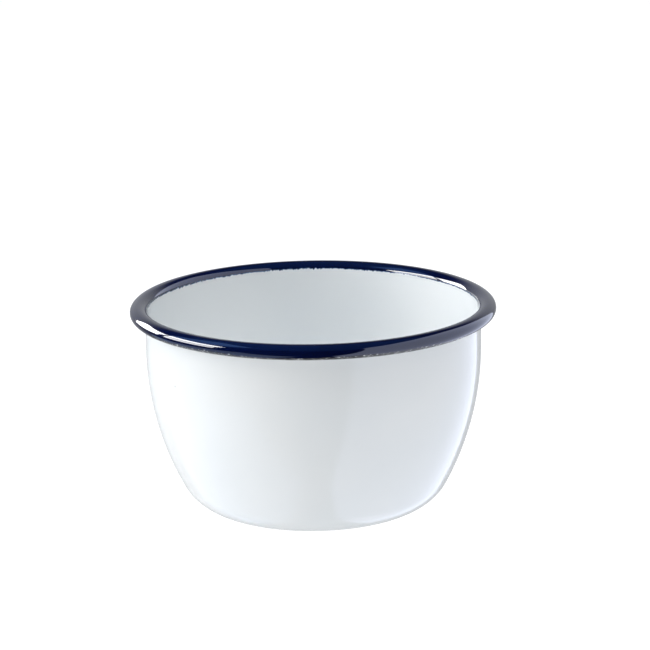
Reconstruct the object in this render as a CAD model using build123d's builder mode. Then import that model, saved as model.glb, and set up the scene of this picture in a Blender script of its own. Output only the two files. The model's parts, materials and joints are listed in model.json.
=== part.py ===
from build123d import *
import os
from math import acos, asin, atan2, cos, degrees, radians, sin, sqrt

# An enamelled steel bowl: one pressed sheet with a closed curl at the rim, fused all over with
# a dark ground coat, white cover enamel inside and out, and blue enamel round the curled rim.
# Millimetres. Origin on the surface the bowl stands on, under its centre, with +Z up.
# Every layer is turned about Z, and follows the same arcs at its own depth.

# ---- Driving sizes ------------------------------------------------------------------------------

mouth_diameter = 140.0  # over the curled rim
height = 80.0  # from the standing ring to the top of the rim

rim_width = 6.84  # the curl's oval section, enamel included
rim_height = 5.73
rim_crown = 0.45  # how far the oval's crown stands above its round ends

side_radius = 113.0  # the long arc of the side
corner_radius = 17.7  # the arc between the side and the base
straight_height = 12.2  # upright wall between the side's arc and the underside of the rim

ring_width = 4.0  # flat ring that the bowl stands on
base_rise = 0.8  # how far the middle of the base stands off the surface
step_radius = 6.0  # both arcs of the step between the ring and the middle

sheet_thickness = 0.60  # the steel
ground_coat = 0.08  # first enamel, all over the steel
cover_coat = 0.17  # white or blue enamel over it

paint_angle = 21.0  # where the blue starts on the mouth side, above the curl's middle height
curl_gap = 0.20  # between the sheet's trimmed edge and the wall that it curls back to
seam_depth = 0.30  # how far the ground coat runs up into that gap

# ---- Sizes that follow from them ----------------------------------------------------------------

wall_thickness = sheet_thickness + 2 * (ground_coat + cover_coat)

# Depths below the outer face of the bowl: each layer lies between two of these.
outer_ground = cover_coat
outer_steel = cover_coat + ground_coat
inner_steel = outer_steel + sheet_thickness
inner_ground = inner_steel + ground_coat
inner_face = wall_thickness

# The rim's oval: two round ends, and a flatter arc each for the crown and the keel.
rim_middle_radius = mouth_diameter / 2 - rim_width / 2
rim_middle_height = height - rim_height / 2
end_radius = rim_height / 2 - rim_crown
end_offset = rim_width / 2 - end_radius
crown_radius = (end_offset**2 + (rim_height / 2) ** 2 - end_radius**2) / (2 * rim_crown)
crown_offset = crown_radius - rim_height / 2
end_turn = degrees(atan2(crown_offset, end_offset))
mouth_end = (rim_middle_radius - end_offset, rim_middle_height)

# The wall stands in line with the oval's mouth side, so that the inner face runs on into the rim.
wall_radius = mouth_diameter / 2 - rim_width + wall_thickness
straight_foot = height - rim_height - straight_height

# The curl's trimmed edge faces the wall across the gap, at this height on the steel's keel.
edge_run = rim_middle_radius - (wall_radius - outer_steel + curl_gap)
keel_sweep = crown_radius - outer_steel
seam_foot = rim_middle_height + crown_offset - sqrt(keel_sweep**2 - edge_run**2)

# The side's arc is tangent to the wall, and the corner's arc to the side and to the base.
arc_spacing = side_radius - corner_radius
side_centre = wall_radius - side_radius
side_turn = degrees(asin((straight_foot - corner_radius) / arc_spacing))
base_radius = side_centre + arc_spacing * cos(radians(side_turn))

# The step inside the standing ring is two equal arcs, bent opposite ways.
ring_inner_radius = base_radius - ring_width
step_turn = degrees(acos(1 - base_rise / (2 * step_radius)))
step_length = 2 * step_radius * sin(radians(step_turn))
middle_radius = ring_inner_radius - step_length


# ---- Outlines -----------------------------------------------------------------------------------


def bowl_outline(depth, top):
    """Base, corner, side and wall at one depth below the outer face, from the axis up to `top`."""
    Line((0, base_rise + depth), (middle_radius, base_rise + depth))
    CenterArc((middle_radius, base_rise - step_radius), step_radius + depth, 90, -step_turn)
    CenterArc((ring_inner_radius, step_radius), step_radius - depth, 270 - step_turn, step_turn)
    Line((ring_inner_radius, depth), (base_radius, depth))
    CenterArc((base_radius, corner_radius), corner_radius - depth, 270, 90 - side_turn)
    CenterArc((side_centre, straight_foot), side_radius - depth, -side_turn, side_turn)
    Line((wall_radius - depth, straight_foot), (wall_radius - depth, top))


def bowl_layer(outer_depth, inner_depth, top):
    """The layer of the bowl between two depths, cut off level at `top`."""
    with BuildLine() as outline:
        bowl_outline(outer_depth, top)
        bowl_outline(inner_depth, top)
        Line((0, base_rise + outer_depth), (0, base_rise + inner_depth))
        Line((wall_radius - outer_depth, top), (wall_radius - inner_depth, top))
    make_face(outline.edges())


def rim_oval(depth, mode=Mode.ADD):
    """The rim's oval at one depth below its surface, as a filled face."""
    crown_turn = 180 - 2 * end_turn
    crown = (rim_middle_radius, rim_middle_height - crown_offset)
    keel = (rim_middle_radius, rim_middle_height + crown_offset)
    outer_end = (rim_middle_radius + end_offset, rim_middle_height)
    with BuildLine() as outline:
        CenterArc(outer_end, end_radius - depth, -end_turn, 2 * end_turn)
        CenterArc(crown, crown_radius - depth, end_turn, crown_turn)
        CenterArc(mouth_end, end_radius - depth, 180 - end_turn, 2 * end_turn)
        CenterArc(keel, crown_radius - depth, 180 + end_turn, crown_turn)
    make_face(outline.edges(), mode=mode)


def rim_layer(outer_depth, inner_depth):
    """The closed band of the rim between two depths."""
    rim_oval(outer_depth)
    rim_oval(inner_depth, mode=Mode.SUBTRACT)


def below_the_blue(mode):
    """The wedge on the mouth side between mid-rim height and the radial line of the blue's edge."""
    reach = rim_width + rim_height
    level_point = (mouth_end[0] - reach, mouth_end[1])
    paint_turn = radians(180 - paint_angle)
    paint_point = (mouth_end[0] + reach * cos(paint_turn), mouth_end[1] + reach * sin(paint_turn))
    with BuildLine() as outline:
        Polyline(mouth_end, level_point, paint_point, mouth_end)
    make_face(outline.edges(), mode=mode)


def cut_under_the_curl(edge_radius):
    """Take away what lies below mid-rim height and closer to the axis than `edge_radius`."""
    with Locations((edge_radius, rim_middle_height)):
        Rectangle(rim_width, rim_height, align=(Align.MAX, Align.MAX), mode=Mode.SUBTRACT)


# ---- Steel shell: one sheet, pressed, trimmed and curled outwards at the mouth ------------------

with BuildPart() as steel_shell:
    with BuildSketch(Plane.XZ):
        rim_layer(outer_steel, inner_steel)
        cut_under_the_curl(wall_radius - outer_steel + curl_gap)
        bowl_layer(outer_steel, inner_steel, rim_middle_height)
    revolve(axis=Axis.Z)

# ---- Ground coat inside: from the middle of the floor to the top of the rim ---------------------

with BuildPart() as ground_coat_inside:
    with BuildSketch(Plane.XZ):
        rim_layer(outer_ground, outer_steel)
        with Locations((rim_middle_radius, rim_middle_height)):
            Rectangle(rim_width, rim_height, align=(Align.MAX, Align.MIN), mode=Mode.INTERSECT)
        bowl_layer(inner_steel, inner_ground, rim_middle_height)
    revolve(axis=Axis.Z)

# ---- Ground coat outside: over the curl, up into its seam, and down to the middle of the base ---

with BuildPart() as ground_coat_outside:
    with BuildSketch(Plane.XZ):
        rim_layer(outer_ground, outer_steel)
        cut_under_the_curl(wall_radius - outer_steel)
        with Locations((rim_middle_radius, rim_middle_height)):
            Rectangle(rim_width, rim_height, align=(Align.MAX, Align.MIN), mode=Mode.SUBTRACT)
        with Locations((wall_radius - outer_steel, seam_foot)):
            Rectangle(curl_gap, seam_depth, align=(Align.MIN, Align.MIN))
        bowl_layer(outer_ground, outer_steel, seam_foot + seam_depth)
    revolve(axis=Axis.Z)

# ---- White enamel inside: the floor and wall, ending where the blue of the rim starts -----------

with BuildPart() as white_enamel_inside:
    with BuildSketch(Plane.XZ):
        rim_layer(0, cover_coat)
        below_the_blue(Mode.INTERSECT)
        bowl_layer(inner_ground, inner_face, rim_middle_height)
    revolve(axis=Axis.Z)

# ---- White enamel outside: the wall under the rim, the side, and all of the base ----------------

with BuildPart() as white_enamel_outside:
    with BuildSketch(Plane.XZ):
        bowl_layer(0, outer_ground, rim_middle_height)
        rim_oval(0, mode=Mode.SUBTRACT)
    revolve(axis=Axis.Z)

# ---- Blue rim enamel: round the curl, from just inside the mouth to the wall outside ------------

with BuildPart() as blue_rim_enamel:
    with BuildSketch(Plane.XZ):
        rim_layer(0, cover_coat)
        below_the_blue(Mode.SUBTRACT)
        cut_under_the_curl(wall_radius - outer_ground)
    revolve(axis=Axis.Z)

# ---- Names and files ----------------------------------------------------------------------------

pieces = {
    "steel_shell": steel_shell,
    "ground_coat_inside": ground_coat_inside,
    "ground_coat_outside": ground_coat_outside,
    "white_enamel_inside": white_enamel_inside,
    "white_enamel_outside": white_enamel_outside,
    "blue_rim_enamel": blue_rim_enamel,
}

os.makedirs("parts", exist_ok=True)
for name, piece in pieces.items():
    piece.part.label = name
    export_step(piece.part, f"parts/{name}.step")
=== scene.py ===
"""The looks of a small deep bowl of enamelled steel: white, with a blue curled rim."""

import json
import logging
import math
from dataclasses import dataclass
from enum import Enum

import bmesh
import bpy
from mathutils import Matrix, Vector

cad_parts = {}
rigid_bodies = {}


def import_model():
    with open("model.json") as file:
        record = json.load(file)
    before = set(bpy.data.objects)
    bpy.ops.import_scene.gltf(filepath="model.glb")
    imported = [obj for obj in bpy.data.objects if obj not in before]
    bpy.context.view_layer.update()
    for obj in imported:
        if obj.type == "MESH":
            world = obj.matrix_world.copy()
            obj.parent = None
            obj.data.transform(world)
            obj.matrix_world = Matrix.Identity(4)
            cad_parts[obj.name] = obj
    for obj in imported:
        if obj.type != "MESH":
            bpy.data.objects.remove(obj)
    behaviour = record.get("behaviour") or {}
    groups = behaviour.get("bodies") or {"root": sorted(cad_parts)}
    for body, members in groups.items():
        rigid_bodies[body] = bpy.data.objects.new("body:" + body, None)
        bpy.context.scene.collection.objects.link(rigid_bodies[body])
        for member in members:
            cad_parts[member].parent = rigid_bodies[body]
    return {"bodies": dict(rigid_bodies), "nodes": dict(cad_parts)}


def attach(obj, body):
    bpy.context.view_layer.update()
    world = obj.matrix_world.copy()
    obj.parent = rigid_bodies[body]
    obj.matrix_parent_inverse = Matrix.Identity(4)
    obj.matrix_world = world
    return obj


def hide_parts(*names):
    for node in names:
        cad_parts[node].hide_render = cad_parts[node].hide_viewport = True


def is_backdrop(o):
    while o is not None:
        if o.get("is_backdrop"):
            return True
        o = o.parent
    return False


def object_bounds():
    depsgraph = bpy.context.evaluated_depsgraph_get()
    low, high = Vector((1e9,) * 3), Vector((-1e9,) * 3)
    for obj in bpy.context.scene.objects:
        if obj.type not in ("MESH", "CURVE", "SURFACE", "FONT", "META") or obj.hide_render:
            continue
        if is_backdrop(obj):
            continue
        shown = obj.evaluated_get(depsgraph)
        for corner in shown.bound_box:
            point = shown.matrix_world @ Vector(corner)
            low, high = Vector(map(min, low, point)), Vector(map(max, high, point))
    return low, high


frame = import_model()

log = logging.getLogger("enamel_bowl")

MM = 0.001
AXIS_UP = (0.0, 0.0, 1.0)
SECTION_AXIS = (0.0, -1.0, 0.0)  # a turn about this carries +X towards +Z
ORIGIN = (0.0, 0.0, 0.0)
SHARP_ABOVE = 35.0  # degrees between faces past which an edge is a corner
MERGE_WITHIN = 0.0005 * MM
DISSOLVE_BELOW = 0.0001 * MM
ROUND_THE_RIM = (1.0, 1.0, 0.0)  # noise that follows the rim, the same at each height
NARROW_SPAN = (0.35, 0.65)  # spans of noise values, which crowd round 0.5
WIDE_SPAN = (0.30, 0.70)

Colour = tuple[float, float, float, float]
Span = tuple[float, float]

WHITE_LIGHT: Colour = (1.0, 1.0, 1.0, 1.0)


class RecordSlot(Enum):
    """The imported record's material slots that the modelled pieces take."""

    WHITE = "white_enamel"
    BLUE = "blue_enamel"


# ---- Sizes --------------------------------------------------------------------------------------


@dataclass(frozen=True)
class Steps:
    """Edges in each run of an outline, and in the full turn."""

    full_turn: int = 256
    middle: int = 6
    step_arc: int = 8
    ring: int = 2
    corner: int = 24
    side: int = 36
    wall: int = 6
    fillet: int = 8
    mouth: int = 3
    mouth_end: int = 14
    crown: int = 30
    outer_end: int = 28
    keel: int = 26


@dataclass(frozen=True)
class BowlSizes:
    """Sizes of the coated bowl in metres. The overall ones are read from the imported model.

    Args:
        rim_radius: Radius over the curled rim.
        height: From the standing ring to the top of the rim.
    """

    rim_radius: float
    height: float
    rim_width: float = 6.84 * MM
    rim_height: float = 5.73 * MM
    rim_crown: float = 0.45 * MM
    side_radius: float = 113.0 * MM
    corner_radius: float = 17.7 * MM
    straight_height: float = 12.2 * MM
    ring_width: float = 4.0 * MM
    base_rise: float = 0.8 * MM
    step_radius: float = 6.0 * MM
    wall: float = 1.10 * MM
    cover_coat: float = 0.17 * MM
    shared_white: float = 25.0  # degrees below mid-rim where the rim piece takes over inside
    seam_fillet: float = 0.55 * MM  # radius of the enamel drawn up between the wall and the curl
    fillet_turn: float = 80.0  # degrees
    fillet_rise: float = 0.28 * MM  # where the fillet starts, above the curl's underside
    steps: Steps = Steps()

    @property
    def rim_middle_radius(self) -> float:
        """Radius of the middle of the curl's section."""
        return self.rim_radius - self.rim_width / 2

    @property
    def rim_middle_height(self) -> float:
        """Height of the middle of the curl's section."""
        return self.height - self.rim_height / 2

    @property
    def end_radius(self) -> float:
        """Radius of the oval's two round ends."""
        return self.rim_height / 2 - self.rim_crown

    @property
    def end_offset(self) -> float:
        """Distance of each round end's centre from the middle of the oval."""
        return self.rim_width / 2 - self.end_radius

    @property
    def crown_radius(self) -> float:
        """Radius of the flatter arcs over the crown and under the keel."""
        half = self.rim_height / 2
        return (self.end_offset**2 + half**2 - self.end_radius**2) / (2 * self.rim_crown)

    @property
    def crown_offset(self) -> float:
        """Distance of the crown's centre below the middle of the oval."""
        return self.crown_radius - self.rim_height / 2

    @property
    def end_turn(self) -> float:
        """Half the turn of a round end, in degrees."""
        return math.degrees(math.atan2(self.crown_offset, self.end_offset))

    @property
    def takeover_drop(self) -> float:
        """How far below the middle of the curl the rim's own coat starts, inside."""
        return self.end_radius * math.sin(math.radians(self.shared_white))

    @property
    def wall_radius(self) -> float:
        """Outer radius of the upright wall."""
        return self.rim_radius - self.rim_width + self.wall

    @property
    def straight_foot(self) -> float:
        """Height where the side's arc ends and the upright wall starts."""
        return self.height - self.rim_height - self.straight_height

    @property
    def arc_spacing(self) -> float:
        """Distance between the centres of the side's arc and the corner's arc."""
        return self.side_radius - self.corner_radius

    @property
    def side_centre(self) -> float:
        """Radius at which the side's arc is centred; it is negative, past the axis."""
        return self.wall_radius - self.side_radius

    @property
    def side_turn(self) -> float:
        """Turn of the side's arc, in degrees."""
        return math.degrees(math.asin((self.straight_foot - self.corner_radius) / self.arc_spacing))

    @property
    def base_radius(self) -> float:
        """Radius where the corner's arc meets the flat standing ring."""
        return self.side_centre + self.arc_spacing * math.cos(math.radians(self.side_turn))

    @property
    def step_turn(self) -> float:
        """Turn of each arc of the step inside the standing ring, in degrees."""
        return math.degrees(math.acos(1 - self.base_rise / (2 * self.step_radius)))

    @property
    def middle_radius(self) -> float:
        """Radius of the raised flat in the middle of the base."""
        step_length = 2 * self.step_radius * math.sin(math.radians(self.step_turn))
        return self.base_radius - self.ring_width - step_length


# ---- Turned meshes ------------------------------------------------------------------------------


class TurnedMesh:
    """An outline drawn with bmesh operators in the XZ plane, then turned about the bowl's axis."""

    def __init__(self, radius: float, height: float) -> None:
        """Start the outline at one point.

        Args:
            radius: Distance of the point from the axis.
            height: Height of the point.
        """
        self.bm = bmesh.new()
        made = bmesh.ops.create_vert(self.bm, co=(radius, 0.0, height))
        self.first = made["vert"][0]
        self.tip = self.first

    def line_to(self, radius: float, height: float, steps: int = 1) -> None:
        """Draw a straight run to a point.

        Args:
            radius: Distance of the new point from the axis.
            height: Height of the new point.
            steps: Number of equal edges in the run.
        """
        move = (Vector((radius, 0.0, height)) - self.tip.co) / steps
        for _ in range(steps):
            made = bmesh.ops.extrude_vert_indiv(self.bm, verts=[self.tip])
            self.tip = made["verts"][0]
            bmesh.ops.translate(self.bm, verts=[self.tip], vec=move)

    def arc(self, centre: tuple[float, float], turn: float, steps: int) -> None:
        """Draw an arc from the last point.

        Args:
            centre: Radius and height of the arc's centre.
            turn: Signed turn in degrees, from +X towards +Z.
            steps: Number of edges in the arc.
        """
        made = bmesh.ops.spin(
            self.bm,
            geom=[self.tip],
            cent=(centre[0], 0.0, centre[1]),
            axis=SECTION_AXIS,
            angle=math.radians(turn),
            steps=steps,
            use_duplicate=False,
        )
        self.tip = next(item for item in made["geom_last"] if isinstance(item, bmesh.types.BMVert))

    def close(self) -> None:
        """Join the last point to the first."""
        bmesh.ops.contextual_create(self.bm, geom=[self.tip, self.first])

    def finish(self, name: str, steps: int) -> bpy.types.Object:
        """Turn the outline into a closed body and link it to the scene.

        Args:
            name: Name of the piece.
            steps: Number of steps in the full turn.

        Returns:
            The piece, at the origin with its place in its mesh.
        """
        bmesh.ops.spin(
            self.bm,
            geom=self.bm.verts[:] + self.bm.edges[:],
            cent=ORIGIN,
            axis=AXIS_UP,
            angle=math.tau,
            steps=steps,
            use_merge=True,
            use_duplicate=False,
        )
        bmesh.ops.remove_doubles(self.bm, verts=self.bm.verts[:], dist=MERGE_WITHIN)
        bmesh.ops.dissolve_degenerate(self.bm, edges=self.bm.edges[:], dist=DISSOLVE_BELOW)
        bmesh.ops.recalc_face_normals(self.bm, faces=self.bm.faces[:])
        mesh = bpy.data.meshes.new(name)
        self.bm.to_mesh(mesh)
        self.bm.free()
        mesh.shade_smooth()
        mesh.set_sharp_from_angle(angle=math.radians(SHARP_ABOVE))
        piece = bpy.data.objects.new(name, mesh)
        bpy.context.scene.collection.objects.link(piece)
        return piece


# ---- Node building ------------------------------------------------------------------------------


class NodeSums:
    """A node tree, with short calls for the sums that materials and surroundings share."""

    def __init__(self, tree: bpy.types.NodeTree) -> None:
        """Start on the tree, emptied.

        Args:
            tree: A node tree whose nodes are all to be made here.
        """
        self.tree = tree
        self.tree.nodes.clear()

    def feed(self, socket: bpy.types.NodeSocket, value: object) -> None:
        """Link a socket, or set it to a constant.

        Args:
            socket: The input that is fed.
            value: The socket that feeds it, or its constant.
        """
        if isinstance(value, bpy.types.NodeSocket):
            self.tree.links.new(value, socket)
        else:
            socket.default_value = value

    def calculate(self, operation: str, *values: object) -> bpy.types.NodeSocket:
        """Add a math node.

        Args:
            operation: Name of the operation.
            values: Its one to three inputs, sockets or numbers.

        Returns:
            The result's socket.
        """
        node = self.tree.nodes.new("ShaderNodeMath")
        node.operation = operation
        for socket, value in zip(node.inputs, values):
            self.feed(socket, value)
        return node.outputs[0]

    def rescale(self, value: object, low: float, high: float, to_low: float, to_high: float,
                smooth: bool = False) -> bpy.types.NodeSocket:
        """Map a value from one range to another, held at both ends.

        Args:
            value: The value, a socket or a number.
            low: The value that becomes to_low.
            high: The value that becomes to_high.
            to_low: Result at and below low.
            to_high: Result at and above high.
            smooth: Whether the change eases in and out.

        Returns:
            The mapped value's socket.
        """
        node = self.tree.nodes.new("ShaderNodeMapRange")
        node.clamp = True
        node.interpolation_type = "SMOOTHSTEP" if smooth else "LINEAR"
        for socket, number in zip(node.inputs, (value, low, high, to_low, to_high)):
            self.feed(socket, number)
        return node.outputs[0]


class NodeBoard(NodeSums):
    """A material's node tree, with short calls for the nodes that the finishes share."""

    def __init__(self, name: str) -> None:
        """Start a material whose shader is linked to its output.

        Args:
            name: Name of the material.
        """
        self.material = bpy.data.materials.new(name)
        self.material.use_nodes = True
        super().__init__(self.material.node_tree)
        output = self.tree.nodes.new("ShaderNodeOutputMaterial")
        self.shader = self.tree.nodes.new("ShaderNodeBsdfPrincipled")
        self.tree.links.new(self.shader.outputs["BSDF"], output.inputs["Surface"])
        self.place = self.tree.nodes.new("ShaderNodeTexCoord").outputs["Object"]

    def noise(self, scale: float, detail: float = 2.0, roughness: float = 0.5,
              stretch: tuple[float, float, float] = (1.0, 1.0, 1.0),
              shift: float = 0.0) -> bpy.types.NodeSocket:
        """Add noise on the piece's own coordinates.

        Args:
            scale: Features per metre.
            detail: Number of finer layers.
            roughness: Strength of the finer layers.
            stretch: Share of each axis that the noise follows; 0 makes it constant along that axis.
            shift: Offset that makes this noise differ from the others.

        Returns:
            The noise value's socket, about 0.5 on average.
        """
        mapping = self.tree.nodes.new("ShaderNodeMapping")
        mapping.inputs["Scale"].default_value = stretch
        mapping.inputs["Location"].default_value = (shift, shift, shift)
        self.tree.links.new(self.place, mapping.inputs["Vector"])
        node = self.tree.nodes.new("ShaderNodeTexNoise")
        node.inputs["Scale"].default_value = scale
        node.inputs["Detail"].default_value = detail
        node.inputs["Roughness"].default_value = roughness
        self.tree.links.new(mapping.outputs["Vector"], node.inputs["Vector"])
        return node.outputs["Fac"]

    def blend_colours(self, share: object, first: object, second: object) -> bpy.types.NodeSocket:
        """Mix two colours.

        Args:
            share: Share of the second colour, a socket or a number.
            first: Colour at share 0.
            second: Colour at share 1.

        Returns:
            The mixed colour's socket.
        """
        node = self.tree.nodes.new("ShaderNodeMix")
        node.data_type = "RGBA"
        self.feed(node.inputs[0], share)
        self.feed(node.inputs[6], first)
        self.feed(node.inputs[7], second)
        return node.outputs[2]

    def relief(self, height: bpy.types.NodeSocket, depth: float, strength: float = 1.0,
               below: bpy.types.NodeSocket | None = None) -> bpy.types.NodeSocket:
        """Add a bump.

        Args:
            height: Relief, from 0 to 1.
            depth: Depth of the relief, in metres.
            strength: Share of the bump that is used.
            below: The bump it lies on, if any.

        Returns:
            The bumped normal's socket.
        """
        node = self.tree.nodes.new("ShaderNodeBump")
        node.inputs["Strength"].default_value = strength
        node.inputs["Distance"].default_value = depth
        self.tree.links.new(height, node.inputs["Height"])
        if below is not None:
            self.tree.links.new(below, node.inputs["Normal"])
        return node.outputs["Normal"]

    def axes(self) -> tuple[bpy.types.NodeSocket, bpy.types.NodeSocket, bpy.types.NodeSocket]:
        """Split the piece's own coordinates.

        Returns:
            The sockets of x, y and z.
        """
        node = self.tree.nodes.new("ShaderNodeSeparateXYZ")
        self.tree.links.new(self.place, node.inputs[0])
        return node.outputs[0], node.outputs[1], node.outputs[2]

    def distance_from_axis(self) -> bpy.types.NodeSocket:
        """Measure how far a point is from the bowl's axis.

        Returns:
            The distance's socket, in metres.
        """
        x, y, _ = self.axes()
        across = self.calculate("MULTIPLY", x, x)
        return self.calculate("SQRT", self.calculate("MULTIPLY_ADD", y, y, across))


# ---- Finishes -----------------------------------------------------------------------------------


@dataclass(frozen=True)
class WhiteEnamel:
    """Glossy opaque white enamel, with a faint orange peel and rare specks of ground coat."""

    colour: Colour = (0.80, 0.825, 0.835, 1.0)
    cool_colour: Colour = (0.765, 0.80, 0.82, 1.0)
    speck_colour: Colour = (0.16, 0.16, 0.17, 1.0)
    gloss_low: float = 0.09
    gloss_high: float = 0.16
    mirror: float = 0.28
    peel_scale: float = 420.0
    peel_depth: float = 0.004 * MM
    wave_scale: float = 38.0
    wave_depth: float = 0.05 * MM
    drift_scale: float = 16.0
    gloss_scale: float = 55.0
    speck_scale: float = 150.0
    speck_radius: float = 0.024
    speck_patch_scale: float = 70.0
    speck_patch: Span = (0.70, 0.72)
    refraction: float = 1.52

    def colour_on(self, board: NodeBoard) -> bpy.types.NodeSocket:
        """Colour the enamel, with its drift and specks.

        Args:
            board: The material's nodes.

        Returns:
            The colour's socket.
        """
        drift = board.rescale(board.noise(self.drift_scale, 3.0), *NARROW_SPAN, 0.0, 1.0)
        clean = board.blend_colours(drift, self.colour, self.cool_colour)
        cells = board.tree.nodes.new("ShaderNodeTexVoronoi")
        cells.inputs["Scale"].default_value = self.speck_scale
        board.tree.links.new(board.place, cells.inputs["Vector"])
        patches = board.noise(self.speck_patch_scale, 1.0, shift=3.1)
        chance = board.rescale(patches, *self.speck_patch, 0.0, 1.0)
        reach = (self.speck_radius, self.speck_radius * 3)
        near = board.rescale(cells.outputs["Distance"], *reach, 1.0, 0.0)
        specks = board.calculate("MULTIPLY", near, chance)
        return board.blend_colours(specks, clean, self.speck_colour)

    def gloss_on(self, board: NodeBoard) -> bpy.types.NodeSocket:
        """Return the enamel's uneven roughness."""
        drift = board.noise(self.gloss_scale, 4.0, shift=1.7)
        return board.rescale(drift, *WIDE_SPAN, self.gloss_low, self.gloss_high)

    def normal_on(self, board: NodeBoard) -> bpy.types.NodeSocket:
        """Shape the enamel's waves and orange peel.

        Args:
            board: The material's nodes.

        Returns:
            The normal's socket.
        """
        waves = board.relief(board.noise(self.wave_scale, 1.0, shift=5.3), self.wave_depth)
        peel = board.noise(self.peel_scale, 1.0, shift=2.2)
        return board.relief(peel, self.peel_depth, below=waves)

    def build(self, sizes: BowlSizes, firing_marks: bool) -> bpy.types.Material:
        """Make the material.

        Args:
            sizes: The bowl's sizes.
            firing_marks: Whether the three marks of the furnace pins are under this coat's base.

        Returns:
            The material.
        """
        board = NodeBoard("white_enamel_outside" if firing_marks else "white_enamel_inside")
        colour = self.colour_on(board)
        normal = self.normal_on(board)
        if firing_marks:
            marks = FiringMarks()
            mask = marks.mask_on(board, sizes)
            colour = board.blend_colours(mask, colour, marks.colour)
            normal = board.relief(board.calculate("SUBTRACT", 1.0, mask), marks.depth, below=normal)
        board.feed(board.shader.inputs["Base Color"], colour)
        board.feed(board.shader.inputs["Roughness"], self.gloss_on(board))
        board.feed(board.shader.inputs["Normal"], normal)
        board.shader.inputs["IOR"].default_value = self.refraction
        board.shader.inputs["Specular IOR Level"].default_value = self.mirror
        return board.material


@dataclass(frozen=True)
class FiringMarks:
    """Three small bare marks on the standing ring, where the furnace pins touched."""

    colour: Colour = (0.05, 0.05, 0.06, 1.0)
    count: int = 3
    first_angle: float = 40.0
    radius: float = 0.55 * MM
    spread: float = 1.6  # outer edge of a mark's fade, as a share of its radius
    edge_scale: float = 1500.0
    edge_depth: float = 0.5 * MM
    depth: float = 0.12 * MM
    ring_share: float = 0.35  # of the ring's width, in from its outer edge

    def mask_on(self, board: NodeBoard, sizes: BowlSizes) -> bpy.types.NodeSocket:
        """Place the marks round the standing ring.

        Args:
            board: The material's nodes.
            sizes: The bowl's sizes.

        Returns:
            The socket of a mask that is 1 on the marks.
        """
        ring = sizes.base_radius - sizes.ring_width * self.ring_share
        total: object = 0.0
        for index in range(self.count):
            angle = math.radians(self.first_angle + index * 360.0 / self.count)
            spot = (ring * math.cos(angle), ring * math.sin(angle), 0.0)
            reach = board.tree.nodes.new("ShaderNodeVectorMath")
            reach.operation = "DISTANCE"
            board.tree.links.new(board.place, reach.inputs[0])
            reach.inputs[1].default_value = spot
            edge = board.noise(self.edge_scale, 2.0, shift=index)
            ragged = board.calculate("MULTIPLY_ADD", edge, self.edge_depth, reach.outputs["Value"])
            mark = board.rescale(ragged, self.radius, self.radius * self.spread, 1.0, 0.0)
            total = board.calculate("MAXIMUM", mark, total)
        return total


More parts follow.
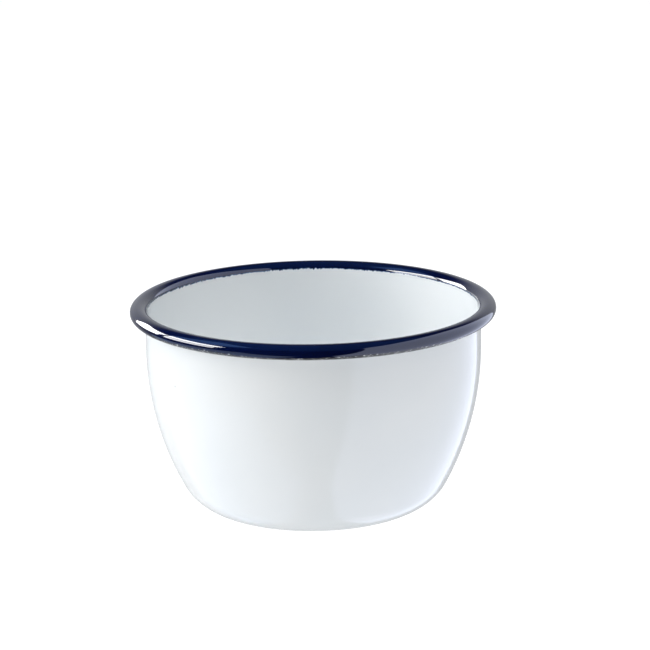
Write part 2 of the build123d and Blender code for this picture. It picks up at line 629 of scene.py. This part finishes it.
@dataclass(frozen=True)
class BlueRimEnamel:
    """Deep blue enamel round the curl, with a dipped edge inside and a worn line underneath."""

    white: WhiteEnamel
    colour: Colour = (0.0002, 0.0020, 0.024, 1.0)
    lighter_colour: Colour = (0.0008, 0.0058, 0.046, 1.0)
    thin_colour: Colour = (0.08, 0.23, 0.50, 1.0)
    worn_colour: Colour = (0.012, 0.010, 0.010, 1.0)
    chip_colour: Colour = (0.55, 0.56, 0.55, 1.0)
    drift_scale: float = 26.0
    drift_span: Span = (0.35, 0.70)
    most_drift: float = 0.55
    gloss_low: float = 0.035
    gloss_high: float = 0.077
    gloss_scale: float = 90.0
    refraction: float = 1.55
    edge_drop: float = 2.80 * MM  # mean height of the blue's edge below the top of the rim, inside
    wander: float = 0.50 * MM
    wander_scale: float = 22.0
    ripple: float = 0.30 * MM
    ripple_scale: float = 130.0
    nick: float = 1.1 * MM
    nick_scale: float = 1000.0
    nick_patch_scale: float = 30.0
    nick_patch: Span = (0.30, 0.50)
    least_nick: float = 0.45
    feather: float = 0.07 * MM
    fringe: float = 0.34 * MM
    fringe_share: float = 0.75
    crossover: float = 0.2 * MM  # width over which the mouth side gives way to the outer side
    worn_height: float = 1.6 * MM
    worn_spread: float = 0.55 * MM
    worn_feather: float = 0.25 * MM
    worn_scale: float = 900.0
    worn_patch_scale: float = 24.0
    worn_patch: Span = (0.40, 0.60)
    worn_patch_reach: Span = (-0.45, 0.25)
    worn_roughness: float = 0.35
    chip_scale: float = 1500.0
    chip: Span = (0.60, 0.66)
    wave_scale: float = 45.0
    wave_depth: float = 0.05 * MM
    streak_scale: float = 60.0
    streak_stretch: tuple[float, float, float] = (0.7, 0.7, 14.0)
    streak_depth: float = 0.006 * MM
    coat_step: float = 0.05 * MM

    def edge_on(self, board: NodeBoard, sizes: BowlSizes) -> bpy.types.NodeSocket:
        """Measure how far a point stands above the blue's ragged edge on the mouth side.

        Args:
            board: The material's nodes.
            sizes: The bowl's sizes.

        Returns:
            The height's socket, in metres.
        """
        _, _, z = board.axes()
        wander = board.noise(self.wander_scale, 1.0, stretch=ROUND_THE_RIM, shift=0.4)
        ripple = board.noise(self.ripple_scale, 1.0, stretch=ROUND_THE_RIM, shift=2.9)
        nicks = board.noise(self.nick_scale, 2.0, 0.7, stretch=ROUND_THE_RIM, shift=7.7)
        patches = board.noise(self.nick_patch_scale, 1.0, stretch=ROUND_THE_RIM, shift=11.3)
        nicked = board.rescale(patches, *self.nick_patch, self.least_nick, 1.0, smooth=True)
        rise = board.calculate("SUBTRACT", z, sizes.height - self.edge_drop)
        for value, depth in ((wander, self.wander), (ripple, self.ripple)):
            middle = board.calculate("SUBTRACT", value, 0.5)
            rise = board.calculate("MULTIPLY_ADD", middle, depth * 2, rise)
        bite = board.calculate("MULTIPLY", board.calculate("SUBTRACT", nicks, 0.5), nicked)
        return board.calculate("MULTIPLY_ADD", bite, self.nick * 2, rise)

    def wear_on(self, board: NodeBoard, sizes: BowlSizes,
                outside: bpy.types.NodeSocket) -> bpy.types.NodeSocket:
        """Wear the blue off along the underside of the curl.

        Args:
            board: The material's nodes.
            sizes: The bowl's sizes.
            outside: A mask that is 1 on the outer side of the curl.

        Returns:
            The socket of a mask that is 1 where the blue is worn off.
        """
        _, _, z = board.axes()
        grain = board.noise(self.worn_scale, 3.0, 0.7, shift=9.1)
        patches = board.noise(self.worn_patch_scale, 2.0, stretch=ROUND_THE_RIM, shift=6.4)
        patch_reach = board.rescale(patches, *self.worn_patch, *self.worn_patch_reach)
        reach = board.calculate("ADD", grain, patch_reach)
        ragged = board.calculate("MULTIPLY_ADD", reach, -2 * self.worn_spread, z)
        top = sizes.height - sizes.rim_height + self.worn_height - self.worn_spread
        worn = board.rescale(ragged, top - self.worn_feather, top, 1.0, 0.0)
        return board.calculate("MULTIPLY", worn, outside)

    def build(self, sizes: BowlSizes) -> bpy.types.Material:
        """Make the material.

        Args:
            sizes: The bowl's sizes.

        Returns:
            The material.
        """
        board = NodeBoard("blue_rim_enamel")
        middle = sizes.rim_middle_radius
        radius = board.distance_from_axis()
        outside = board.rescale(radius, middle - self.crossover, middle, 0.0, 1.0)
        inside = board.calculate("SUBTRACT", 1.0, outside)
        rise = self.edge_on(board, sizes)
        covered = board.rescale(rise, -self.feather, self.feather, 0.0, 1.0)
        blue_share = board.calculate("MAXIMUM", covered, outside)
        thin = board.calculate("MULTIPLY", board.rescale(rise, 0.0, self.fringe, 1.0, 0.0), inside)
        fringe = board.calculate("MULTIPLY", thin, self.fringe_share)
        drift = board.noise(self.drift_scale, 3.0, shift=4.6)
        share = board.rescale(drift, *self.drift_span, 0.0, self.most_drift)
        deep = board.blend_colours(share, self.colour, self.lighter_colour)
        blue = board.blend_colours(fringe, deep, self.thin_colour)
        worn = self.wear_on(board, sizes, outside)
        chips = board.rescale(board.noise(self.chip_scale, 1.0, shift=8.8), *self.chip, 0.0, 1.0)
        worn_colour = board.blend_colours(chips, self.worn_colour, self.chip_colour)
        blue = board.blend_colours(worn, blue, worn_colour)
        colour = board.blend_colours(blue_share, self.white.colour_on(board), blue)
        board.feed(board.shader.inputs["Base Color"], colour)
        polish = board.noise(self.gloss_scale, 3.0, shift=1.1)
        uneven = board.rescale(polish, *WIDE_SPAN, self.gloss_low, self.gloss_high)
        rough = board.calculate("MULTIPLY_ADD", worn, self.worn_roughness, uneven)
        board.feed(board.shader.inputs["Roughness"], rough)
        waves = board.relief(board.noise(self.wave_scale, 1.0, shift=5.9), self.wave_depth)
        brushed = board.noise(self.streak_scale, 2.0, 0.6, stretch=self.streak_stretch, shift=3.3)
        streaks = board.relief(brushed, self.streak_depth, below=waves)
        board.feed(
            board.shader.inputs["Normal"], board.relief(blue_share, self.coat_step, below=streaks)
        )
        board.shader.inputs["IOR"].default_value = self.refraction
        return board.material


@dataclass(frozen=True)
class GroundEnamel:
    """The dark first coat, matter than the covers that hide it."""

    colour: Colour = (0.012, 0.013, 0.02, 1.0)
    pale: Colour = (0.03, 0.032, 0.045, 1.0)
    drift_scale: float = 60.0
    gloss_scale: float = 140.0
    gloss: Span = (0.25, 0.42)
    pit_scale: float = 600.0
    pit_depth: float = 0.01 * MM

    def build(self) -> bpy.types.Material:
        """Make the material.

        Returns:
            The material.
        """
        board = NodeBoard("ground_enamel_coat")
        drift = board.rescale(board.noise(self.drift_scale, 4.0), *NARROW_SPAN, 0.0, 1.0)
        rough = board.rescale(board.noise(self.gloss_scale, 3.0), *WIDE_SPAN, *self.gloss)
        pits = board.relief(board.noise(self.pit_scale, 2.0), self.pit_depth)
        colour = board.blend_colours(drift, self.colour, self.pale)
        board.feed(board.shader.inputs["Base Color"], colour)
        board.feed(board.shader.inputs["Roughness"], rough)
        board.feed(board.shader.inputs["Normal"], pits)
        return board.material


@dataclass(frozen=True)
class DrawnSteel:
    """Pickled deep-drawn sheet, with draw marks that run up the wall."""

    colour: Colour = (0.33, 0.33, 0.335, 1.0)
    dull: Colour = (0.22, 0.22, 0.225, 1.0)
    mark_scale: float = 900.0
    mark_stretch: tuple[float, float, float] = (1.0, 1.0, 0.03)
    mark_depth: float = 0.01 * MM
    gloss: Span = (0.38, 0.55)

    def build(self) -> bpy.types.Material:
        """Make the material.

        Returns:
            The material.
        """
        board = NodeBoard("drawn_steel_sheet")
        marks = board.noise(self.mark_scale, 3.0, 0.6, stretch=self.mark_stretch)
        drift = board.rescale(marks, *WIDE_SPAN, 0.0, 1.0)
        colour = board.blend_colours(drift, self.colour, self.dull)
        board.feed(board.shader.inputs["Base Color"], colour)
        board.feed(board.shader.inputs["Roughness"], board.rescale(marks, *WIDE_SPAN, *self.gloss))
        board.feed(board.shader.inputs["Normal"], board.relief(marks, self.mark_depth))
        board.shader.inputs["Metallic"].default_value = 1.0
        return board.material


# ---- The bowl -----------------------------------------------------------------------------------


@dataclass
class Bowl:
    """The bowl's three visible coats as modelled pieces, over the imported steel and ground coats."""

    sizes: BowlSizes
    white: WhiteEnamel

    def draw_base(self, mesh: TurnedMesh, depth: float, outwards: bool) -> None:
        """Draw the base, the corner and the side of the outer or the inner face.

        Args:
            mesh: The outline, standing at the axis or at the foot of the upright wall.
            depth: Depth of the face below the bowl's outer face.
            outwards: Whether the outline runs from the axis to the wall, or back.
        """
        s, steps = self.sizes, self.sizes.steps
        ring_edge = s.base_radius - s.ring_width
        upper_step = (s.middle_radius, s.base_rise - s.step_radius)
        lower_step = (ring_edge, s.step_radius)
        corner = (s.base_radius, s.corner_radius)
        side = (s.side_centre, s.straight_foot)
        corner_turn = 90.0 - s.side_turn
        if outwards:
            mesh.line_to(s.middle_radius, s.base_rise + depth, steps.middle)
            mesh.arc(upper_step, -s.step_turn, steps.step_arc)
            mesh.arc(lower_step, s.step_turn, steps.step_arc)
            mesh.line_to(s.base_radius, depth, steps.ring)
            mesh.arc(corner, corner_turn, steps.corner)
            mesh.arc(side, s.side_turn, steps.side)
        else:
            mesh.arc(side, -s.side_turn, steps.side)
            mesh.arc(corner, -corner_turn, steps.corner)
            mesh.line_to(ring_edge, depth, steps.ring)
            mesh.arc(lower_step, -s.step_turn, steps.step_arc)
            mesh.arc(upper_step, s.step_turn, steps.step_arc)
            mesh.line_to(0.0, s.base_rise + depth, steps.middle)

    def white_outside(self) -> bpy.types.Object:
        """Model the outer white coat, with enamel drawn up into the seam under the curl.

        Returns:
            The piece.
        """
        s, steps = self.sizes, self.sizes.steps
        mesh = TurnedMesh(0.0, s.base_rise)
        self.draw_base(mesh, 0.0, outwards=True)
        seam = s.height - s.rim_height + s.fillet_rise
        mesh.line_to(s.wall_radius, seam, steps.wall)
        mesh.arc((s.wall_radius + s.seam_fillet, seam), -s.fillet_turn, steps.fillet)
        mesh.line_to(s.wall_radius - s.cover_coat, mesh.tip.co.z)
        mesh.line_to(s.wall_radius - s.cover_coat, s.straight_foot, steps.wall)
        self.draw_base(mesh, s.cover_coat, outwards=False)
        return mesh.finish("white_enamel_coat_outside", steps.full_turn)

    def white_inside(self) -> bpy.types.Object:
        """Model the inner white coat, up to where the rim's own coat takes over.

        Returns:
            The piece.
        """
        s, steps = self.sizes, self.sizes.steps
        inner_depth = s.wall
        outer_depth = s.wall - s.cover_coat
        mesh = TurnedMesh(0.0, s.base_rise + outer_depth)
        self.draw_base(mesh, outer_depth, outwards=True)
        top = s.rim_middle_height - s.takeover_drop
        mesh.line_to(s.wall_radius - outer_depth, top, steps.wall)
        mesh.line_to(s.wall_radius - inner_depth, top)
        mesh.line_to(s.wall_radius - inner_depth, s.straight_foot, steps.wall)
        self.draw_base(mesh, inner_depth, outwards=False)
        return mesh.finish("white_enamel_coat_inside", steps.full_turn)

    def rim(self) -> bpy.types.Object:
        """Model the coat of the curled rim, from inside the mouth round to the wall outside.

        Returns:
            The piece.
        """
        s, steps = self.sizes, self.sizes.steps
        middle_radius, middle_height = s.rim_middle_radius, s.rim_middle_height
        mouth_end = (middle_radius - s.end_offset, middle_height)
        outer_end = (middle_radius + s.end_offset, middle_height)
        crown = (middle_radius, middle_height - s.crown_offset)
        keel = (middle_radius, middle_height + s.crown_offset)
        crown_turn = 180.0 - 2 * s.end_turn
        keel_start = 90.0 - s.end_turn
        seam_run = middle_radius - (s.wall_radius - s.cover_coat)
        inner_sweep = s.crown_radius - s.cover_coat
        outer_lean = math.degrees(math.asin(seam_run / s.crown_radius))
        inner_lean = math.degrees(math.asin(seam_run / inner_sweep))
        seam_drop = inner_sweep * math.cos(math.radians(inner_lean))
        foot = middle_height - s.takeover_drop
        mouth_face = s.wall_radius - s.wall
        mesh = TurnedMesh(mouth_face, foot)
        mesh.line_to(mouth_face, middle_height, steps.mouth)
        mesh.arc(mouth_end, -s.end_turn, steps.mouth_end)
        mesh.arc(crown, -crown_turn, steps.crown)
        mesh.arc(outer_end, -2 * s.end_turn, steps.outer_end)
        mesh.arc(keel, -(outer_lean + keel_start), steps.keel)
        mesh.line_to(middle_radius - seam_run, keel[1] - seam_drop)
        mesh.arc(keel, inner_lean + keel_start, steps.keel)
        mesh.arc(outer_end, 2 * s.end_turn, steps.outer_end)
        mesh.arc(crown, crown_turn, steps.crown)
        mesh.arc(mouth_end, s.end_turn, steps.mouth_end)
        mesh.line_to(mouth_face + s.cover_coat, foot, steps.mouth)
        mesh.close()
        return mesh.finish("blue_enamel_coat_rim", steps.full_turn)

    def build(self) -> None:
        """Model, dress and attach every piece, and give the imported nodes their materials."""
        outside = self.white_outside()
        inside = self.white_inside()
        rim = self.rim()
        self.dress(outside, self.white.build(self.sizes, firing_marks=True))
        self.dress(inside, self.white.build(self.sizes, firing_marks=False))
        self.dress(rim, BlueRimEnamel(self.white).build(self.sizes))
        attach(outside, "root")
        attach(inside, "root")
        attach(rim, "root")
        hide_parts("white_enamel_outside")
        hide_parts("white_enamel_inside")
        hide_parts("blue_rim_enamel")
        ground = GroundEnamel().build()
        for node in ("ground_coat_inside", "ground_coat_outside"):
            self.dress(frame["nodes"][node], ground)
        self.dress(frame["nodes"]["steel_shell"], DrawnSteel().build())

    def dress(self, piece: bpy.types.Object, material: bpy.types.Material) -> None:
        """Give a piece one material and report it.

        Args:
            piece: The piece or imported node.
            material: Its only material.
        """
        piece.data.materials.clear()
        piece.data.materials.append(material)
        log.info("%s: %d faces, %s", piece.name, len(piece.data.polygons), material.name)


# ---- The studio ---------------------------------------------------------------------------------


class Seen(Enum):
    """Which light paths a lamp takes part in."""

    SOFT_LIGHT = "soft light"  # lights matt surfaces, and isn't mirrored
    REFLECTION = "reflection"  # is mirrored by gloss, and lights nothing


@dataclass(frozen=True)
class Panel:
    """One flat lamp that faces the bowl.

    Args:
        name: Name of the lamp.
        seen: Whether it lights matt surfaces or is mirrored by gloss.
        bearing: Compass angle from +X towards +Y, in degrees.
        lift: Height of its middle above the horizon, in degrees.
        width: Size across, in metres.
        tall: Size upwards, in metres.
        radiance: Brightness of its face; 1 is as bright as white paper.
        tint: Its colour.
        distance: Distance from the bowl, in metres.
    """

    name: str
    seen: Seen
    bearing: float
    lift: float
    width: float
    tall: float
    radiance: float
    tint: tuple[float, float, float] = (1.0, 1.0, 1.0)
    distance: float = 1.0

    def build(self, target: Vector) -> None:
        """Make the lamp and point it at the bowl.

        Args:
            target: The point that the lamp faces.
        """
        lamp = bpy.data.lights.new(self.name, "AREA")
        lamp.shape = "RECTANGLE"
        lamp.size = self.width
        lamp.size_y = self.tall
        lamp.energy = self.radiance * self.width * self.tall * math.pi
        lamp.color = self.tint
        holder = bpy.data.objects.new(self.name, lamp)
        bearing = math.radians(self.bearing)
        lift = math.radians(self.lift)
        across = math.cos(lift)
        away = Vector((math.cos(bearing) * across, math.sin(bearing) * across, math.sin(lift)))
        holder.location = target + away * self.distance
        holder.rotation_mode = "QUATERNION"
        holder.rotation_quaternion = away.to_track_quat("Z", "Y")
        holder.visible_camera = False
        holder.visible_glossy = self.seen is Seen.REFLECTION
        holder.visible_diffuse = self.seen is Seen.SOFT_LIGHT
        bpy.context.scene.collection.objects.link(holder)


@dataclass(frozen=True)
class ViewPoint:
    """The camera: a long lens, a little above the rim, rolled slightly."""

    distance: float = 1.0
    elevation: float = 16.11
    aim_height: float = 0.040
    lens: float = 143.3
    roll: float = 0.897
    bowl_left: float = 0.2331  # degrees that the bowl sits left of the picture's middle
    bowl_low: float = 1.6660  # degrees that it sits below it

    def build(self) -> None:
        """Make the camera and set it as the scene's."""
        elevation = math.radians(self.elevation)
        left, low = math.radians(self.bowl_left), math.radians(self.bowl_low)
        target = Vector((0.0, 0.0, self.aim_height))
        back = Vector((0.0, -math.cos(elevation), math.sin(elevation)))
        right = Vector((1.0, 0.0, 0.0))
        forward = -back
        up = right.cross(forward)
        aim = Vector((-math.tan(left), -math.tan(low), 1.0))
        swing = Vector((0.0, 0.0, 1.0)).rotation_difference(aim.normalized()).to_matrix()
        cos, sin = math.cos(math.radians(self.roll)), math.sin(math.radians(self.roll))
        lean = Matrix(((cos, -sin, 0.0), (sin, cos, 0.0), (0.0, 0.0, 1.0)))
        axes = swing @ lean @ Matrix((right, up, forward))
        turned = Matrix((axes[0], axes[1], -axes[2])).transposed().to_4x4()
        data = bpy.data.cameras.new("camera")
        data.lens = self.lens
        data.clip_start = 0.01
        data.clip_end = 50.0
        camera = bpy.data.objects.new("camera", data)
        camera.matrix_world = Matrix.Translation(target + back * self.distance) @ turned
        bpy.context.scene.collection.objects.link(camera)
        bpy.context.scene.camera = camera


@dataclass(frozen=True)
class Studio:
    """A white sweep with soft light from the left, and panels for the rim to mirror."""

    lamp_height: float = 0.05  # the height that every lamp faces
    floor_size: float = 6.0
    floor_colour: Colour = (0.12, 0.125, 0.13, 1.0)
    floor_roughness: float = 0.9
    floor_glow: float = 0.96
    backdrop_shown: float = 1.0
    light_colour: Colour = (0.93, 0.96, 1.0, 1.0)
    front_light: float = 0.027
    back_light: float = 0.62
    sweep_start: Span = (0.35, 0.85)  # how far back a direction points where the sweep comes in
    sweep_top: Span = (0.36, 0.62)  # how high it points where the sweep ends
    sweep_foot: Span = (0.02, 0.14)  # how high it points where the sweep stands on the floor
    floor_share: float = 0.8  # brightness below the sweep's foot, as a share of the sweep's
    panels: tuple[Panel, ...] = (
        Panel("key_left", Seen.SOFT_LIGHT, 178.0, 24.0, 1.0, 0.7, 4.4),
        Panel("fill_right", Seen.SOFT_LIGHT, -12.0, 34.0, 0.8, 0.8, 1.35),
        Panel("fill_front", Seen.SOFT_LIGHT, 258.0, 35.0, 0.9, 0.6, 1.0),
        Panel("fill_top", Seen.SOFT_LIGHT, 200.0, 84.0, 0.9, 0.9, 3.3),
        Panel("box_back_left", Seen.REFLECTION, 147.0, 15.0, 0.56, 0.47, 20.0),
        Panel("box_left_upper", Seen.REFLECTION, 188.5, 27.0, 0.72, 0.22, 22.0),
        Panel("box_left_lower", Seen.REFLECTION, 188.5, 9.0, 0.72, 0.30, 13.0),
        Panel("card_right", Seen.REFLECTION, -3.0, -10.0, 3.4, 5.0, 2.15, (0.73, 0.79, 1.0)),
        Panel("glow_left", Seen.REFLECTION, 178.0, 48.0, 0.6, 0.6, 1.6, (0.22, 0.45, 1.0)),
        Panel("glow_top", Seen.REFLECTION, 250.0, 84.0, 1.6, 1.6, 0.25, (0.1, 0.35, 1.0)),
        Panel("glow_below", Seen.REFLECTION, 185.0, -50.0, 1.6, 1.0, 1.1, (0.6, 0.75, 1.0)),
    )

    def build(self) -> None:
        """Make the floor, the surroundings and the lamps."""
        self.floor()
        self.surroundings()
        for panel in self.panels:
            panel.build(Vector((0.0, 0.0, self.lamp_height)))

    def floor(self) -> None:
        """Make the plain pale floor."""
        bm = bmesh.new()
        bmesh.ops.create_grid(bm, x_segments=1, y_segments=1, size=self.floor_size / 2)
        mesh = bpy.data.meshes.new("floor")
        bm.to_mesh(mesh)
        bm.free()
        floor = bpy.data.objects.new("floor", mesh)
        bpy.context.scene.collection.objects.link(floor)
        board = NodeBoard("floor_paper")
        board.shader.inputs["Base Color"].default_value = self.floor_colour
        board.shader.inputs["Roughness"].default_value = self.floor_roughness
        board.shader.inputs["Emission Color"].default_value = WHITE_LIGHT
        board.shader.inputs["Emission Strength"].default_value = self.floor_glow
        mesh.materials.append(board.material)
        floor.visible_glossy = False
        floor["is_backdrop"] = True

    def surroundings(self) -> None:
        """Light the surroundings from behind, dim in front, and show them plain white."""
        world = bpy.data.worlds.new("studio")
        world.use_nodes = True
        sums = NodeSums(world.node_tree)
        nodes, links = sums.tree.nodes, sums.tree.links
        direction = nodes.new("ShaderNodeSeparateXYZ")
        links.new(nodes.new("ShaderNodeTexCoord").outputs["Generated"], direction.inputs[0])
        back, up = direction.outputs["Y"], direction.outputs["Z"]
        share = sums.rescale(back, *self.sweep_start, 0.0, 1.0, smooth=True)
        top = sums.rescale(up, *self.sweep_top, 1.0, 0.0, smooth=True)
        foot = sums.rescale(up, *self.sweep_foot, self.floor_share, 1.0, smooth=True)
        for limit in (top, foot):
            share = sums.calculate("MULTIPLY", limit, share)
        lit = nodes.new("ShaderNodeBackground")
        lit.inputs["Color"].default_value = self.light_colour
        strength = sums.calculate("MULTIPLY_ADD", share, self.back_light, self.front_light)
        links.new(strength, lit.inputs["Strength"])
        shown = nodes.new("ShaderNodeBackground")
        shown.inputs["Strength"].default_value = self.backdrop_shown
        mix = nodes.new("ShaderNodeMixShader")
        seen = nodes.new("ShaderNodeLightPath").outputs["Is Camera Ray"]
        output = nodes.new("ShaderNodeOutputWorld").inputs["Surface"]
        for start, end in ((seen, mix.inputs[0]), (lit.outputs[0], mix.inputs[1]),
                           (shown.outputs[0], mix.inputs[2]), (mix.outputs[0], output)):
            links.new(start, end)
        bpy.context.scene.world = world
        bpy.context.scene.view_settings.view_transform = "Standard"
        bpy.context.scene.view_settings.look = "None"


# ---- Making the scene ---------------------------------------------------------------------------


def clear_starter_objects() -> None:
    """Remove the objects of a new file, which aren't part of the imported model."""
    kept = set(frame["nodes"].values()) | set(frame["bodies"].values())
    for item in list(bpy.context.scene.objects):
        if item not in kept:
            bpy.data.objects.remove(item)


def main() -> None:
    """Build the bowl and its studio."""
    logging.basicConfig(level=logging.INFO, format="%(name)s: %(message)s")
    clear_starter_objects()
    cad_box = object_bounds()
    sizes = BowlSizes(rim_radius=cad_box[1].x, height=cad_box[1].z)
    Bowl(sizes, WhiteEnamel()).build()
    Studio().build()
    ViewPoint().build()


if __name__ == "__main__":
    main()
